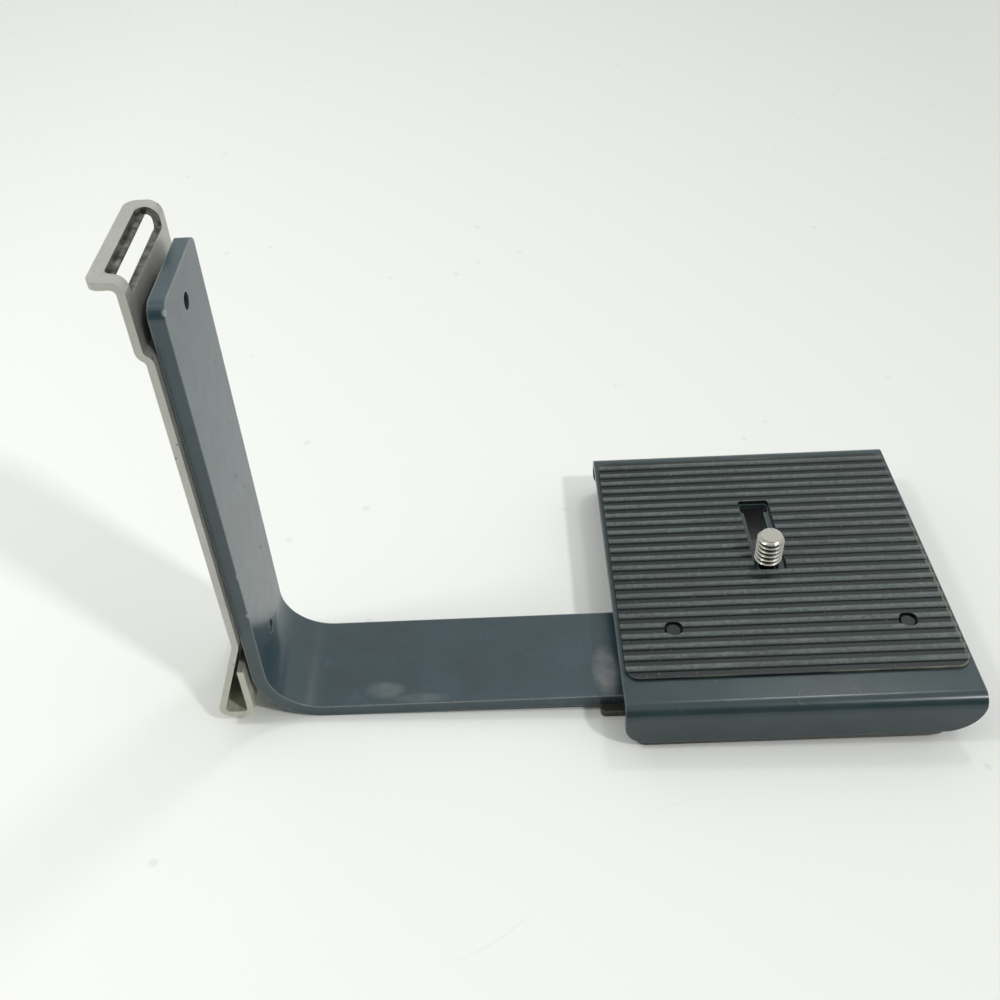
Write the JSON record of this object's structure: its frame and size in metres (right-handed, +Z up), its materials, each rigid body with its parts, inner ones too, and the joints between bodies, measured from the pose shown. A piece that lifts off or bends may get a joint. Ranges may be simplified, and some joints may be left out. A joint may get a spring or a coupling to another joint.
{
  "type": "quick release flash bracket",
  "caption": "L-shaped flash bracket: folded camera plate with ribbed pad, keyhole and camera screw on a bent flat bar, and a sprung release strip with finger loop on its upright.",
  "frame": {"origin": "on the camera screw's axis, level with the crests of the pad's ribs", "axes": "+X along the bar from the upright towards the plate, +Y to the plate's back edge, +Z up along the camera screw"},
  "size_m": [0.1641, 0.0856, 0.1136],
  "materials": {
    "bar": "satin",
    "plate": "satin",
    "pad": "matte",
    "base": "satin",
    "steel": "satin",
    "rivet": "satin",
    "screw": "polished",
    "knob": "satin",
    "strip": "satin"
  },
  "bodies": {
    "frame": {"bar": "bar", "camera_plate": "plate", "ribbed_pad": "pad", "base_plate": "base", "spacer_left": "steel", "spacer_right": "steel", "plate_rivet_left": "rivet", "plate_rivet_right": "rivet", "strip_rivet": "steel"},
    "carriage": {"slide_washer": "steel"},
    "screw": {"camera_screw": "screw", "screw_knob": "knob", "knob_pin": "steel", "spring_washer": "steel"},
    "release": {"release_strip": "strip"}
  },
  "joints": [
    {"name": "screw_slide", "type": "slide", "parent": "frame", "child": "carriage", "axis": [0, 1, 0], "range_m": [0, 0.017]},
    {"name": "screw_spin", "type": "hinge", "parent": "carriage", "child": "screw", "pos_m": [0, 0, 0], "axis": [0, 0, 1], "continuous": true},
    {"name": "release_flex", "type": "hinge", "parent": "frame", "child": "release", "pos_m": [-0.1192, -0.02005, 0.0051], "axis": [0, -1, 0], "range_deg": [0, 3], "stiffness_Nm_per_rad": 6, "springref_deg": -0.57}
  ]
}
